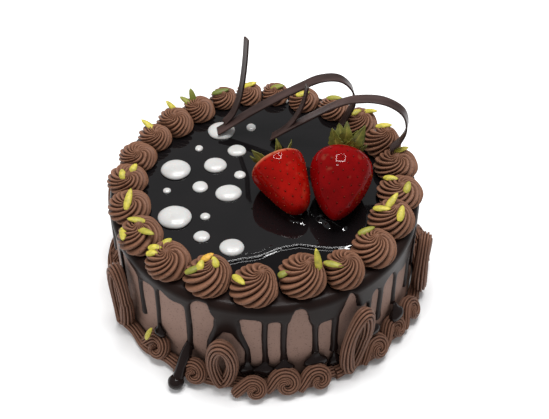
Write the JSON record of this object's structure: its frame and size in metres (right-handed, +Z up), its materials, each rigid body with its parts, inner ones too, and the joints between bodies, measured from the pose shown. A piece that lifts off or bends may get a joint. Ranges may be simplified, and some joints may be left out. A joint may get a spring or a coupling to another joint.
{
  "type": "birthday cake",
  "caption": "Round chocolate birthday cake with dark mirror glaze, drips, piped cream rosettes, white dots, pistachio slivers, whole strawberries and chocolate ribbon curls.",
  "frame": {"origin": "middle of the cake's flat underside, without the piped border", "axes": "+Z up, the front shown in the picture faces -Y, +X to the right seen from the front"},
  "size_m": [0.2202, 0.232, 0.1441],
  "materials": {
    "cream": "smooth whipped mocha cream with fine dark specks",
    "glaze": "mirror-smooth dark chocolate glaze",
    "piped": "piped chocolate cream, satin",
    "white": "set white chocolate, slightly glossy",
    "berry": "fresh strawberry under clear gel",
    "leaf": "green strawberry leaves",
    "chocolate": "tempered dark chocolate, satin"
  },
  "bodies": {
    "root": {"border_1": "piped", "border_2": "piped", "border_3": "piped", "border_4": "piped", "border_5": "piped", "border_6": "piped", "border_7": "piped", "border_8": "piped", "cake": "cream", "calyx_left": "leaf", "calyx_right": "leaf", "curl_back": "chocolate", "curl_front": "chocolate", "dot_01": "white", "dot_02": "white", "dot_03": "white", "dot_04": "white", "dot_05": "white", "dot_06": "white", "dot_07": "white", "dot_08": "white", "dot_09": "white", "dot_10": "white", "dot_11": "white", "dot_12": "white", "dot_13": "white", "dot_14": "white", "glaze": "glaze", "glaze_spill": "glaze", "rosette_01": "piped", "rosette_02": "piped", "rosette_03": "piped", "rosette_04": "piped", "rosette_05": "piped", "rosette_06": "piped", "rosette_07": "piped", "rosette_08": "piped", "rosette_09": "piped", "rosette_10": "piped", "rosette_11": "piped", "rosette_12": "piped", "rosette_13": "piped", "rosette_14": "piped", "rosette_15": "piped", "rosette_16": "piped", "rosette_17": "piped", "rosette_18": "piped", "rosette_19": "piped", "rosette_20": "piped", "rosette_21": "piped", "rosette_22": "piped", "rosette_23": "piped", "strawberry_left": "berry", "strawberry_right": "berry"}
  },
  "joints": []
}
